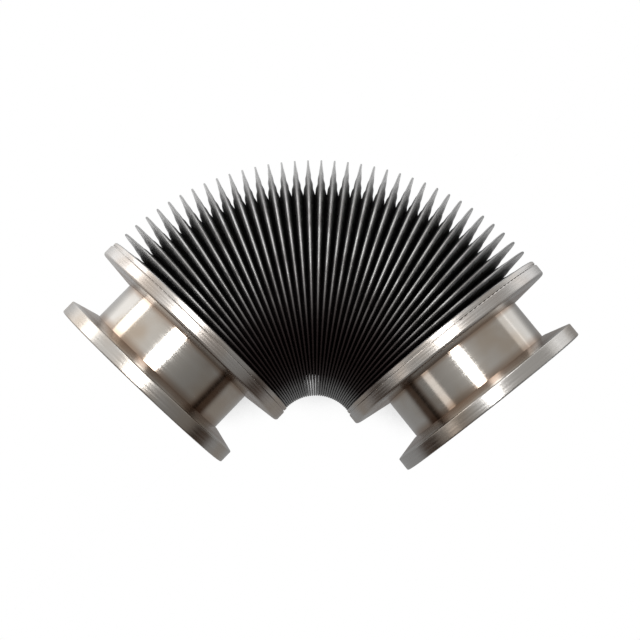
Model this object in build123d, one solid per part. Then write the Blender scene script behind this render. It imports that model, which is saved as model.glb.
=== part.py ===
"""Edge-welded metal bellows hose with a clamp flange at each end, bent and lying on its side.

Frame: millimetres, +Z up. The bend lies flat in the XY plane, opening towards -Y, and its
centre line is at the height of the end plates' radius, so that both plates rest on Z = 0.
The origin is under the middle of the object's bounding box.
"""

import os
from math import cos, radians, sin, tan

from build123d import *

# --- bend -------------------------------------------------------------------------------
bend_radius = 40.45  # centre line of the hose
bend_angle = 98.0  # degrees between the two end plates' inner faces
convolution_count = 35

# --- diaphragms -------------------------------------------------------------------------
diaphragm_outer_radius = 30.1
diaphragm_tube_gap = 0.5  # radial, between the inner edge and the tubes' outside
diaphragm_thickness = 0.13
diaphragm_lip_depth = 2.4  # flat band along the outer edge, where neighbours lie face to face
weld_depth = 0.4  # radial depth of the fused inner edge

# --- tube stubs -------------------------------------------------------------------------
tube_outer_radius = 20.3
tube_wall = 1.5
tube_exposed_length = 11.0  # between the flange's back and the end plate
seat_clearance = 0.03  # radial slip fit of a tube in a flange or a plate

# --- end plates -------------------------------------------------------------------------
plate_overhang = 0.3  # of the plates beyond the diaphragms
plate_rim_width = 3.0
plate_back_rounding = 0.7
plate_front_rounding = 0.35
plate_hub_rise = 1.0  # the back face rises towards the tube
plate_hub_land = 0.8
groove_width = 0.35
groove_depth = 0.5
lip_width = 0.65  # thin lip that the first diaphragm is welded to
lip_overhang = 0.1  # of the lip beyond the diaphragms

# --- clamp flanges ----------------------------------------------------------------------
flange_radius = 27.5
flange_rim_width = 3.6
flange_taper = 15.0  # degrees
flange_edge_rounding = 0.35
flange_back_land = 0.6  # flat ring between the taper and the tube
recess_radius = 20.6  # seat of the centring ring
recess_depth = 3.0
recess_chamfer = 0.3

# --- derived ----------------------------------------------------------------------------
convolution_angle = bend_angle / convolution_count
diaphragm_inner_radius = tube_outer_radius + diaphragm_tube_gap
diaphragm_lip_radius = diaphragm_outer_radius - diaphragm_lip_depth
plate_radius = diaphragm_outer_radius + plate_overhang
lip_radius = diaphragm_outer_radius + lip_overhang
tube_inner_radius = tube_outer_radius - tube_wall
socket_radius = tube_outer_radius + seat_clearance
plate_thickness = lip_width + groove_width + plate_rim_width
plate_hub_thickness = plate_thickness + plate_hub_rise
flange_back_radius = socket_radius + flange_back_land
flange_thickness = flange_rim_width + (flange_radius - flange_back_radius) * tan(radians(flange_taper))
tube_length = flange_thickness - recess_depth + tube_exposed_length + plate_hub_thickness
end_length = flange_thickness + tube_exposed_length + plate_hub_thickness
half_bend = radians(bend_angle / 2)


def bend_centre():
    """The point that the hose bends about: it puts the bounding box around the Z axis."""
    crown = bend_radius + diaphragm_outer_radius
    flange_foot = (bend_radius - flange_radius) * cos(half_bend) - end_length * sin(half_bend)
    return Vector(0, -(crown + flange_foot) / 2, plate_radius)


def station(angle, advance=0.0):
    """The plane across the hose at an angle along the bend, moved by a distance along the hose.

    Angle 0 is the crown of the bend and positive angles lie towards +X.
    """
    turn = radians(angle)
    outward = Vector(sin(turn), cos(turn), 0)
    along = Vector(cos(turn), -sin(turn), 0)
    return Plane(origin=outward * bend_radius + along * advance, x_dir=outward, z_dir=along)


def end_plane(side):
    """The plane of a flange's sealing face, looking along its tube towards the bellows."""
    inner = station(side * bend_angle / 2, side * end_length)
    return Plane(origin=inner.origin + bend_centre(), x_dir=inner.x_dir, z_dir=inner.z_dir * -side)


def disc(plane, radius):
    return plane * Circle(radius)


def make_convolution():
    """Two ring diaphragms fused at their inner edges, at the crown of the bend.

    Their outer lips lie in planes that meet on the bend axis, so the pair is wide open on
    the outside of the bend and nearly closed on the inside.
    """
    edge = convolution_angle / 2
    thickness = diaphragm_thickness
    outside = loft(
        [
            disc(station(-edge), diaphragm_outer_radius),
            disc(station(-edge, thickness), diaphragm_outer_radius),
            disc(station(-edge, thickness), diaphragm_lip_radius),
            disc(station(0), diaphragm_inner_radius + weld_depth),
            disc(station(edge, -thickness), diaphragm_lip_radius),
            disc(station(edge, -thickness), diaphragm_outer_radius),
            disc(station(edge), diaphragm_outer_radius),
        ],
        ruled=True,
    )
    inside = loft(
        [
            disc(station(-edge), diaphragm_lip_radius),
            disc(station(0, -thickness), diaphragm_inner_radius),
            disc(station(0, thickness), diaphragm_inner_radius),
            disc(station(edge), diaphragm_lip_radius),
        ],
        ruled=True,
    )
    return outside - inside


def place_convolution(convolution, index):
    """Turns the crown convolution about the bend axis to its own place along the hose."""
    angle = (index - (convolution_count - 1) / 2) * convolution_angle
    return Pos(*bend_centre()) * Rot(0, 0, -angle) * convolution


def turned(points):
    """Revolves a closed outline of (radius, distance along the axis) points about Z."""
    outline = Plane.XZ * make_face(Polyline(*points, close=True))
    return revolve(outline, Axis.Z)


def circles_at(solid, radius, height):
    """The circular edges of a turned solid with this radius, at this distance along its axis."""
    return [
        edge
        for edge in solid.edges().filter_by(GeomType.CIRCLE)
        if abs(edge.radius - radius) < 1e-3 and abs(edge.center().Z - height) < 1e-3
    ]


def make_flange():
    """Clamp flange: a plain rim, a tapered back, the centring ring's recess and the tube's socket."""
    body = turned(
        [
            (recess_radius, 0),
            (flange_radius, 0),
            (flange_radius, flange_rim_width),
            (flange_back_radius, flange_thickness),
            (socket_radius, flange_thickness),
            (socket_radius, recess_depth),
            (recess_radius, recess_depth),
        ]
    )
    rims = circles_at(body, flange_radius, 0) + circles_at(body, flange_radius, flange_rim_width)
    body = fillet(rims, flange_edge_rounding)
    return chamfer(circles_at(body, recess_radius, 0), recess_chamfer)


def make_tube():
    """Plain tube stub from the bottom of the flange's recess to the inner face of the end plate."""
    return turned(
        [
            (tube_inner_radius, recess_depth),
            (tube_outer_radius, recess_depth),
            (tube_outer_radius, recess_depth + tube_length),
            (tube_inner_radius, recess_depth + tube_length),
        ]
    )


def make_plate():
    """End plate: a thick rounded rim, a shallow groove and the thin lip that carries the bellows."""
    inner_face = end_length
    groove_start = inner_face - lip_width - groove_width
    back_face = inner_face - plate_thickness
    body = turned(
        [
            (socket_radius, back_face - plate_hub_rise),
            (socket_radius + plate_hub_land, back_face - plate_hub_rise),
            (plate_radius, back_face),
            (plate_radius, groove_start),
            (plate_radius - groove_depth, groove_start),
            (plate_radius - groove_depth, inner_face - lip_width),
            (lip_radius, inner_face - lip_width),
            (lip_radius, inner_face),
            (socket_radius, inner_face),
        ]
    )
    body = fillet(circles_at(body, plate_radius, back_face), plate_back_rounding)
    return fillet(circles_at(body, plate_radius, groove_start), plate_front_rounding)


def build():
    """Every sub-part by node name."""
    parts = {}
    for name, side in (("left", -1), ("right", 1)):
        seat = end_plane(side)
        parts[f"{name}_clamp_flange"] = seat * make_flange()
        parts[f"{name}_tube_stub"] = seat * make_tube()
        parts[f"{name}_end_plate"] = seat * make_plate()
    convolution = make_convolution()
    for index in range(convolution_count):
        parts[f"bellows_convolution_{index + 1:02d}"] = place_convolution(convolution, index)
    return parts


def main():
    os.makedirs("parts", exist_ok=True)
    for name, shape in build().items():
        export_step(shape, f"parts/{name}.step")


main()
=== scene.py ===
"""Looks of the edge-welded bellows hose: rippled steel diaphragms, turned ends, studio light and camera.

Metres throughout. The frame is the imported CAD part. Its sizes are repeated below, and the place of
the bend is read from the crown convolution's box.
"""

import math

import bmesh
import bpy
from mathutils import Matrix, Vector

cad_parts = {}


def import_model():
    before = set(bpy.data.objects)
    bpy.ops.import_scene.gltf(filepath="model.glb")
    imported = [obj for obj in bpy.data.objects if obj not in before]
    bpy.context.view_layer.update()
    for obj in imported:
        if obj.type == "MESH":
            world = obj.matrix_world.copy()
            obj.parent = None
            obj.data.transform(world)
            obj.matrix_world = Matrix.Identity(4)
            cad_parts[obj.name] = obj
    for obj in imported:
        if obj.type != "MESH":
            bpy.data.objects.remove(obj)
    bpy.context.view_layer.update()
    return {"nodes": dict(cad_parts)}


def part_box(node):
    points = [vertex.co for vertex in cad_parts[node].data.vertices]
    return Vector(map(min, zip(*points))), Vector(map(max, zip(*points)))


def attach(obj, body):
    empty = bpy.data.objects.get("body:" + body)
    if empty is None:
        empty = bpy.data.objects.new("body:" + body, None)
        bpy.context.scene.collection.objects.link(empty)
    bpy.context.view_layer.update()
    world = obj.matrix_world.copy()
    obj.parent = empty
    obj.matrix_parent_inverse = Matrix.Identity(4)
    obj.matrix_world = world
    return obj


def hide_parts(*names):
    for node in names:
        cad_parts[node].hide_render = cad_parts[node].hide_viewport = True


MM = 0.001

# --- the bend, as the CAD part has it ---------------------------------------------------
BEND_RADIUS = 40.45 * MM
BEND_ANGLE = math.radians(98.0)
CONVOLUTIONS = 35
OUTER_RADIUS = 30.1 * MM
INNER_RADIUS = 20.8 * MM
SHEET = 0.13 * MM  # diaphragm thickness
TUBE_RADIUS = 20.3 * MM
FLANGE_RADIUS = 27.5 * MM

# --- diaphragm section ------------------------------------------------------------------
RING_SEGMENTS = 140
LIP_DEPTH = 2.4 * MM  # nearly flat band along the outer weld
LIP_OPENING = 0.195  # share of the opening that the lip takes
WAIST_DEPTH = 5.6 * MM
WAIST_OPENING = 0.47
RIPPLE_HEIGHT = 0.11 * MM  # both sheets of a pair ripple the same way, so that they nest
RIPPLE_COUNT = 2.5
BEAD_RADIUS = 0.225 * MM
BEAD_DEPTH = 0.3 * MM  # where the bead has run out into the sheet
BEAD_STEPS = 4
WELD_DEPTH = 0.25 * MM  # of the fused inner edge
SECTION_STEPS = 22

# --- heat tint beside the weld of each end plate, painted shade in the corners of each end ---
TINT_START = 4.0 * MM  # from the bellows, along the tube
TINT_REACH = 4.5 * MM
WELD_PLACE = 5.0 * MM  # of a tube in its end plate
TAPER_PLACE = 16.0 * MM  # where a flange's taper starts
SCORCH = {-1: 0.7, 1: 0.4}  # the left end is browner than the right

# --- camera -----------------------------------------------------------------------------
CAMERA_HEIGHT = 284 * MM  # above the hose's centre line
CAMERA_BACK = 16.5 * MM  # from the bend's centre, away from the bellows
CAMERA_ROLL = math.radians(2.6)
CAMERA_SIDE = 1.1 * MM
VIEW_WIDTH = 162.3 * MM  # across the picture at the centre line's height
SENSOR_WIDTH = 36.0
CAMERA_TILT = math.radians(6.5)  # from straight down towards the crown of the bend
LENS_SHIFT = 0.084  # the photograph is framed a little above where its camera pointed

# --- studio -----------------------------------------------------------------------------
ROOM_FAR = 0.46
ROOM_NEAR = 0.24
ROOM_BRIGHT = 0.84  # to the upper left
TABLE_SIZE = 6.0
TABLE_GAP = 0.4 * MM  # under the hose
TABLE_LEVEL = 0.34  # in reflections
SHADOW_REACH = 26 * MM  # how far under the hose its contact shadow is looked for


def main():
    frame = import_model()
    bend = Bend()
    make_bellows(bend)
    finish_ends(frame, bend)
    make_stage()
    make_light(bend)
    make_camera(bend)


class Bend:
    """Where the bend lies in the row frame."""

    def __init__(self):
        crown_low, crown_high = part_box(f"bellows_convolution_{(CONVOLUTIONS + 1) // 2:02d}")
        self.step = BEND_ANGLE / CONVOLUTIONS
        self.height = (crown_low.z + crown_high.z) / 2
        half = self.step / 2
        crown_reach = (BEND_RADIUS + OUTER_RADIUS) * math.cos(half) + SHEET * math.sin(half)
        self.centre = Vector((0, crown_high.y - crown_reach, self.height))

    def point(self, angle, ring_radius, turn, advance=0.0):
        """A point on a ring across the hose, at an angle along the bend and a turn around the ring."""
        reach = BEND_RADIUS + ring_radius * math.cos(turn)
        return self.centre + Vector(
            (
                reach * math.sin(angle) + advance * math.cos(angle),
                reach * math.cos(angle) - advance * math.sin(angle),
                ring_radius * math.sin(turn),
            )
        )

    def axis(self, side):
        """Unit vector out of an end, along its tube."""
        angle = side * BEND_ANGLE / 2
        return Vector((side * math.cos(angle), -side * math.sin(angle), 0))

    def seat(self, side):
        """Where an end's axis meets the bellows."""
        return self.point(side * BEND_ANGLE / 2, 0, 0)


# --- bellows ----------------------------------------------------------------------------
def sheet_section():
    """(ring radius, opening share, ripple) of one diaphragm, from its outer weld inwards.

    The opening share is 0 at the plane of the outer weld and 1 at the plane of the inner weld.
    """
    depth_all = OUTER_RADIUS - INNER_RADIUS
    knots = [(0.0, 0.0), (LIP_DEPTH, LIP_OPENING), (WAIST_DEPTH, WAIST_OPENING), (depth_all, 1.0)]
    rows = []
    for step in range(SECTION_STEPS + 1):
        depth = depth_all * step / SECTION_STEPS
        for (start, low), (end, high) in zip(knots, knots[1:]):
            if depth <= end + 1e-9:
                opening = low + (high - low) * (depth - start) / (end - start)
                break
        body = max(0.0, (depth - LIP_DEPTH) / (depth_all - LIP_DEPTH))
        swell = math.sin(math.pi * body)
        ripple = RIPPLE_HEIGHT * swell * math.sin(2 * math.pi * RIPPLE_COUNT * body)
        rows.append((OUTER_RADIUS - depth, opening, ripple))
    return rows


def convolution_section():
    """Closed section of two diaphragms fused at their inner edges.

    Each point is (ring radius, share of the half step, advance along the hose).
    """
    rows = sheet_section()
    valley, cavity = [], []
    for side in (-1, 1):
        seen, hidden = [], []
        for radius, opening, ripple in rows:
            plane = side * (1 - opening)
            seen.append((radius, plane, ripple - side * SHEET))
            hidden.append((radius, plane, ripple))
        bead = []
        for step in range(BEAD_STEPS + 1):
            turn = math.pi / 2 * step / BEAD_STEPS
            drop = BEAD_RADIUS * (1 - math.cos(turn))
            bead.append((OUTER_RADIUS - drop, side, -side * BEAD_RADIUS * math.sin(turn)))
        seen = bead + [row for row in seen if row[0] < OUTER_RADIUS - BEAD_DEPTH]
        valley.append(seen[:-1] + [(INNER_RADIUS + WELD_DEPTH, 0.0, -side * SHEET * 0.5)])
        cavity.append(hidden[1:-1] + [(INNER_RADIUS, 0.0, side * SHEET)])
    return valley[0] + valley[1][::-1] + cavity[1] + cavity[0][::-1]


def make_bellows(bend):
    section = convolution_section()
    material = diaphragm_material(bend)
    for index in range(CONVOLUTIONS):
        name = f"bellows_convolution_{index + 1:02d}"
        middle = (index - (CONVOLUTIONS - 1) / 2) * bend.step
        vertices, faces = [], []
        for ring in range(RING_SEGMENTS):
            turn = 2 * math.pi * ring / RING_SEGMENTS
            for radius, plane, advance in section:
                vertices.append(bend.point(middle + plane * bend.step / 2, radius, turn, advance))
        count = len(section)
        for ring in range(RING_SEGMENTS):
            here, there = ring * count, (ring + 1) % RING_SEGMENTS * count
            for row in range(count):
                after = (row + 1) % count
                faces.append((here + row, here + after, there + after, there + row))
        mesh = bpy.data.meshes.new(f"rippled_{name}")
        mesh.from_pydata(vertices, [], faces)
        mesh.shade_smooth()
        piece = bpy.data.objects.new(f"rippled_{name}", mesh)
        bpy.context.scene.collection.objects.link(piece)
        piece.data.materials.append(material)
        fix_normals(mesh)
        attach(piece, "root")
        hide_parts(name)


def fix_normals(mesh):
    solid = bmesh.new()
    solid.from_mesh(mesh)
    bmesh.ops.recalc_face_normals(solid, faces=solid.faces)
    solid.to_mesh(mesh)
    solid.free()


# --- materials --------------------------------------------------------------------------
class Shader:
    """The node tree of a material or a world, built by short calls."""

    def __init__(self, owner):
        owner.use_nodes = True
        self.tree = owner.node_tree
        self.surface = self.tree.nodes.get("Principled BSDF")

    def add(self, kind, **settings):
        node = self.tree.nodes.new(kind)
        for key, value in settings.items():
            setattr(node, key, value)
        return node

    def link(self, output, socket):
        self.tree.links.new(output, socket)

    def feed(self, value, socket):
        if isinstance(value, bpy.types.NodeSocket):
            self.link(value, socket)
        else:
            socket.default_value = value

    def math(self, operation, first, second=0.0, third=0.0):
        node = self.add("ShaderNodeMath", operation=operation)
        self.feed(first, node.inputs[0])
        self.feed(second, node.inputs[1])
        self.feed(third, node.inputs[2])
        return node.outputs[0]

    def vector(self, operation, first, second=(0, 0, 0)):
        node = self.add("ShaderNodeVectorMath", operation=operation)
        self.feed(first, node.inputs[0])
        self.feed(second, node.inputs[1])
        return node.outputs["Value" if operation in ("LENGTH", "DOT_PRODUCT") else "Vector"]

    def split(self, vector):
        node = self.add("ShaderNodeSeparateXYZ")
        self.link(vector, node.inputs[0])
        return node.outputs

    def join(self, x, y, z):
        node = self.add("ShaderNodeCombineXYZ")
        for value, socket in zip((x, y, z), node.inputs):
            self.feed(value, socket)
        return node.outputs[0]

    def range(self, value, low, high, to_low=0.0, to_high=1.0, smoothly=True):
        node = self.add("ShaderNodeMapRange", interpolation_type="SMOOTHSTEP" if smoothly else "LINEAR")
        self.feed(value, node.inputs["Value"])
        keys = ("From Min", "From Max", "To Min", "To Max")
        for key, number in zip(keys, (low, high, to_low, to_high)):
            self.feed(number, node.inputs[key])
        return node.outputs[0]

    def noise(self, vector, scale, detail=2.0, roughness=0.5):
        node = self.add("ShaderNodeTexNoise")
        self.link(vector, node.inputs["Vector"])
        node.inputs["Scale"].default_value = scale
        node.inputs["Detail"].default_value = detail
        node.inputs["Roughness"].default_value = roughness
        return node.outputs["Fac"]

    def mix(self, share, first, second):
        node = self.add("ShaderNodeMix", data_type="RGBA")
        self.feed(share, node.inputs[0])
        self.feed(first, node.inputs[6])
        self.feed(second, node.inputs[7])
        return node.outputs[2]

    def bump(self, height, distance, strength=1.0):
        node = self.add("ShaderNodeBump")
        node.inputs["Strength"].default_value = strength
        node.inputs["Distance"].default_value = distance
        self.link(height, node.inputs["Height"])
        return node.outputs[0]

    def place(self, centre):
        """Position from a point, in the row frame."""
        return self.vector("SUBTRACT", self.add("ShaderNodeTexCoord").outputs["Object"], centre)


def diaphragm_material(bend):
    """Thin rolled sheet with painted light in its colour: a painted highlight along its outer edge,
    painted shade down the folds, and darker, browner painted shade inside the bend.
    """
    material = bpy.data.materials.new("diaphragm_steel")
    shader = Shader(material)
    place = shader.place(bend.centre)
    x, y, z = shader.split(place)
    reach = shader.vector("LENGTH", shader.join(x, y, 0.0))
    off_line = shader.math("SUBTRACT", reach, BEND_RADIUS)
    ring = shader.vector("LENGTH", shader.join(off_line, z, 0.0))
    # edge marks the weld bead at the outer rim, where the painted highlight lies
    edge = shader.range(ring, OUTER_RADIUS - 0.45 * MM, OUTER_RADIUS - 0.15 * MM)
    depth = shader.range(ring, INNER_RADIUS, OUTER_RADIUS - 0.5 * MM, smoothly=False)
    # by reach from the bend's centre: inside, painted shade; outside, a dimmer painted highlight towards
    # the crown; tip, a grey painted band on the innermost beads
    inside = shader.range(reach, 22 * MM, 44 * MM, 1.0, 0.0)
    outside = shader.range(reach, 50 * MM, 62 * MM)
    tip = shader.range(reach, 11.5 * MM, 14.5 * MM, 1.0, 0.0)
    # painted shade down the folds, near black deep in the valleys, with painted light on the lips and a
    # dark brown painted shade inside the bend
    flank_painted_light = shader.math("POWER", depth, 1.5)
    flank_painted_light = shader.mix(flank_painted_light, (0.04, 0.04, 0.04, 1), (0.88, 0.88, 0.88, 1))
    flank_painted_light = shader.mix(inside, flank_painted_light, (0.09, 0.055, 0.055, 1))
    # painted highlight on the bead, varied at random, dimmer towards the crown, painted shade inside the
    # bend, grey on the innermost beads
    patchy = shader.range(shader.noise(place, 150, 2.0), 0.36, 0.62)
    bead_painted_light = shader.mix(patchy, (0.27, 0.265, 0.26, 1), (0.56, 0.56, 0.56, 1))
    bead_painted_light = shader.mix(outside, bead_painted_light, (0.26, 0.26, 0.26, 1))
    bead_painted_light = shader.mix(inside, bead_painted_light, (0.045, 0.033, 0.033, 1))
    bead_painted_light = shader.mix(tip, bead_painted_light, (0.22, 0.22, 0.22, 1))
    shader.link(shader.mix(edge, flank_painted_light, bead_painted_light), shader.surface.inputs["Base Color"])
    matt = shader.math("MAXIMUM", shader.range(depth, 0.45, 0.9), shader.math("MAXIMUM", inside, tip))
    shader.link(shader.range(matt, 0.0, 1.0, 1.0, 0.66), shader.surface.inputs["Metallic"])
    grain = shader.noise(shader.join(reach, ring, z), 900, 3.0)
    shader.link(shader.range(grain, 0.3, 0.7, 0.27, 0.40), shader.surface.inputs["Roughness"])
    return material


def turned_material(name, bend, side, base, roughness, marks):
    """Turned stainless steel: fine rings about the end's own axis, stretched highlights, heat tint, and
    painted shade in the brown of the tint where the tube meets its end plate and its flange's taper.
    """
    material = bpy.data.materials.new(name)
    shader = Shader(material)
    place = shader.place(bend.seat(side))
    axis = bend.axis(side)
    along = shader.vector("DOT_PRODUCT", place, axis)
    across = shader.vector("CROSS_PRODUCT", axis, place)
    radius = shader.vector("LENGTH", across)
    tangent = shader.vector("NORMALIZE", across)
    rings = shader.join(along, radius, 0.0)
    fine = shader.noise(rings, 2600, 3.0, 0.65)
    drift = shader.noise(place, 60, 3.0)
    height = shader.math("MULTIPLY_ADD", drift, 0.15, fine)
    shader.link(shader.bump(height, 0.012 * MM, marks), shader.surface.inputs["Normal"])
    shader.link(tangent, shader.surface.inputs["Tangent"])
    shader.surface.inputs["Metallic"].default_value = 1.0
    shader.surface.inputs["Anisotropic"].default_value = 0.45
    warm = tuple(channel * share for channel, share in zip(base, (0.88, 0.79, 0.70, 1)))
    # the brown of the heat tint, also used for the painted shade in the corners
    tint_and_shade_colour = tuple(channel * share for channel, share in zip(base, (0.50, 0.36, 0.27, 1)))
    colour = shader.mix(shader.range(drift, 0.40, 0.66), base, warm)
    near_plate = shader.range(along, TINT_START, TINT_START + TINT_REACH, 1.0, 0.0)
    near_weld = shader.range(radius, TUBE_RADIUS + 1.5 * MM, TUBE_RADIUS + 6 * MM, 1.0, 0.35)
    patchy = shader.range(shader.noise(place, 110, 2.0), 0.40, 0.66)
    tint_and_painted_shade = shader.math("MULTIPLY", shader.math("MULTIPLY", near_plate, patchy), SCORCH[side])
    tint_and_painted_shade = shader.math("MULTIPLY", tint_and_painted_shade, near_weld)
    # painted shade in the corners, in the brown of the tint: along the tube beside its end plate and
    # where the flange's taper starts, not on the flange rim
    root = shader.range(along, WELD_PLACE, WELD_PLACE + 1.6 * MM, 1.0, 0.0)
    taper = shader.range(along, TAPER_PLACE - 2.4 * MM, TAPER_PLACE)
    corner_painted_shade = shader.math("MAXIMUM", root, taper)
    off_rim = shader.range(radius, FLANGE_RADIUS - 2.5 * MM, FLANGE_RADIUS - 0.6 * MM, 0.75, 0.0)
    corner_painted_shade = shader.math("MULTIPLY", corner_painted_shade, off_rim)
    tint_and_painted_shade = shader.math("MAXIMUM", tint_and_painted_shade, corner_painted_shade)
    shader.link(shader.mix(tint_and_painted_shade, colour, tint_and_shade_colour), shader.surface.inputs["Base Color"])
    gloss = shader.range(fine, 0.3, 0.7, roughness * 0.8, roughness * 1.3)
    shader.link(gloss, shader.surface.inputs["Roughness"])
    return material


def finish_ends(frame, bend):
    slots = {"clamp_flange": "flange_steel", "tube_stub": "tube_steel", "end_plate": "plate_steel"}
    looks = {
        "clamp_flange": ((0.57, 0.555, 0.535, 1), 0.20, 0.14),
        "tube_stub": ((0.59, 0.565, 0.53, 1), 0.11, 0.07),
        "end_plate": ((0.60, 0.585, 0.57, 1), 0.24, 0.14),
    }
    for name, side in (("left", -1), ("right", 1)):
        for part, slot in slots.items():
            node = frame["nodes"][f"{name}_{part}"]
            base, rough, marks = looks[part]
            material = turned_material(f"{name}_{slot}", bend, side, base, rough, marks)
            node.data.materials.clear()
            node.data.materials.append(material)


# --- stage, light and camera ------------------------------------------------------------
def make_stage():
    """A white table that glows: white to the camera with a painted contact shadow, and dimmer in
    reflections than to the eye, where it shows a painted gradient that also lights the hose.
    """
    bpy.ops.mesh.primitive_plane_add(size=TABLE_SIZE, location=(0, 0, -TABLE_GAP))
    table = bpy.context.object
    table.name = "white_table"
    material = bpy.data.materials.new("white_table")
    shader = Shader(material)
    shader.tree.nodes.clear()
    x, y, z = shader.split(shader.add("ShaderNodeTexCoord").outputs["Object"])
    # painted reflection, also the light the table gives the hose: brighter to the upper left and towards
    # the far side, with a dark brown band on the near side
    upper_left = shader.math("MULTIPLY_ADD", x, -0.75, shader.math("MULTIPLY", y, 0.66))
    lit = shader.range(upper_left, -0.02, 0.10, TABLE_LEVEL, TABLE_LEVEL * 2.0)
    lit = shader.math("ADD", lit, shader.range(y, 0.02, 0.08, 0.0, 0.7))
    dark = shader.range(y, -0.17, -0.08, 1.0, 0.0)
    painted_reflection = shader.mix(dark, shader.join(lit, lit, lit), (0.07, 0.048, 0.036, 1))
    seen = shader.add("ShaderNodeLightPath").outputs["Is Camera Ray"]
    # painted contact shadow: the white the camera sees is darkened by ambient occlusion under the hose
    cover = shader.add("ShaderNodeAmbientOcclusion")
    cover.inputs["Distance"].default_value = SHADOW_REACH
    shade = shader.range(cover.outputs["AO"], 0.05, 0.50, 0.10, 1.0)
    glow = shader.add("ShaderNodeEmission")
    shader.link(shader.mix(seen, painted_reflection, shader.join(shade, shade, shade)), glow.inputs["Color"])
    output = shader.add("ShaderNodeOutputMaterial")
    shader.link(glow.outputs[0], output.inputs["Surface"])
    table.data.materials.append(material)


def softbox(name, position, target, width, length, power, color=(1, 1, 1)):
    data = bpy.data.lights.new(name, "AREA")
    data.shape = "RECTANGLE"
    data.size = width
    data.size_y = length
    data.energy = power
    data.color = color
    lamp = bpy.data.objects.new(name, data)
    lamp.location = position
    lamp.rotation_euler = (Vector(target) - Vector(position)).to_track_quat("-Z", "Y").to_euler()
    bpy.context.scene.collection.objects.link(lamp)


def make_world():
    """A dim room: brighter to the upper left, with a dark band along the horizon on the near side."""
    world = bpy.data.worlds.new("studio")
    bpy.context.scene.world = world
    room = Shader(world)
    direction = room.add("ShaderNodeTexCoord").outputs["Generated"]
    upper_left = room.vector("DOT_PRODUCT", direction, (-0.72, 0.62, 0.30))
    near = room.vector("DOT_PRODUCT", direction, (0.0, -1.0, 0.0))
    height = room.split(direction)[2]
    base = room.range(near, -0.2, 0.6, ROOM_FAR, ROOM_NEAR)
    glow = room.range(upper_left, 0.15, 0.85, base, ROOM_BRIGHT)
    band = room.math("MULTIPLY", room.range(near, 0.0, 0.5), room.range(height, 0.05, 0.28, 1.0, 0.0))
    level = room.math("MULTIPLY", glow, room.math("SUBTRACT", 1.0, room.math("MULTIPLY", band, 0.92)))
    colour = room.mix(band, (1.0, 0.975, 0.94, 1), (1.0, 0.72, 0.55, 1))
    seen = room.add("ShaderNodeLightPath").outputs["Is Camera Ray"]
    background = room.tree.nodes["Background"]
    room.link(room.mix(seen, colour, (1, 1, 1, 1)), background.inputs["Color"])
    room.link(room.math("MAXIMUM", level, seen), background.inputs["Strength"])


def softbox_towards(name, bend, azimuth, elevation, distance, width, length, power, color=(1, 1, 1)):
    """An area light in a direction from the hose, in degrees.

    Azimuth 0 is +Y and positive turns towards +X.
    """
    turn = math.radians(azimuth)
    rise = math.radians(elevation)
    flat = math.cos(rise)
    direction = Vector((math.sin(turn) * flat, math.cos(turn) * flat, math.sin(rise)))
    target = bend.centre + Vector((0, BEND_RADIUS / 2, 0))
    softbox(name, target + direction * distance, target, width, length, power, color)


def make_light(bend):
    make_world()
    softbox_towards("overhead", bend, -49, 80, 0.70, 0.13, 0.16, 0.7)
    softbox_towards("overhead_near", bend, -139, 88, 0.70, 0.09, 0.17, 0.60)
    softbox_towards("crown_card", bend, 0, 59, 0.70, 0.30, 0.14, 0.45)
    softbox_towards("window", bend, -49, 14, 0.75, 0.55, 0.26, 1.1)
    softbox_towards("reflector", bend, -131, 33, 0.75, 0.13, 0.16, 0.055, (1.0, 0.93, 0.88))
    softbox_towards("far_card", bend, 49, 5, 0.75, 0.40, 0.22, 0.14)


def make_camera(bend):
    data = bpy.data.cameras.new("camera")
    data.sensor_width = SENSOR_WIDTH
    data.lens = SENSOR_WIDTH * CAMERA_HEIGHT / VIEW_WIDTH
    data.shift_y = LENS_SHIFT
    data.clip_start = 0.01
    camera = bpy.data.objects.new("camera", data)
    camera.rotation_euler = (CAMERA_TILT, 0, CAMERA_ROLL)
    offset = Vector((CAMERA_SIDE, -CAMERA_BACK, CAMERA_HEIGHT))
    camera.location = bend.centre + Matrix.Rotation(CAMERA_ROLL, 3, "Z") @ offset
    bpy.context.scene.collection.objects.link(camera)
    bpy.context.scene.camera = camera
    bpy.context.scene.view_settings.view_transform = "Standard"


main()
